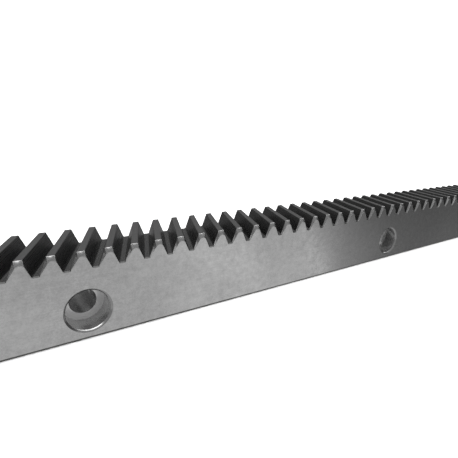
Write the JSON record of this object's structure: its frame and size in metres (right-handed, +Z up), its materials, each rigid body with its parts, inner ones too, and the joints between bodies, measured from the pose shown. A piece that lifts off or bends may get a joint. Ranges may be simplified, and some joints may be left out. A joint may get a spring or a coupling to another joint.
{
  "type": "helical gear rack",
  "caption": "Straight ground steel bar with slanted gear teeth along its top edge and counterbored screw holes through its side; a pinion runs along it.",
  "frame": {"origin": "middle of the base, half way along the rack and half way across its width", "axes": "+X along the rack, +Y across the width from the face with the screw head seats to the face that is bolted to the machine, +Z up from the base to the teeth"},
  "size_m": [0.5, 0.024, 0.024],
  "materials": {
    "ground_steel": "ground and satin, with dark oiled tooth flanks"
  },
  "bodies": {
    "root": {"rack": "ground_steel"}
  },
  "joints": []
}
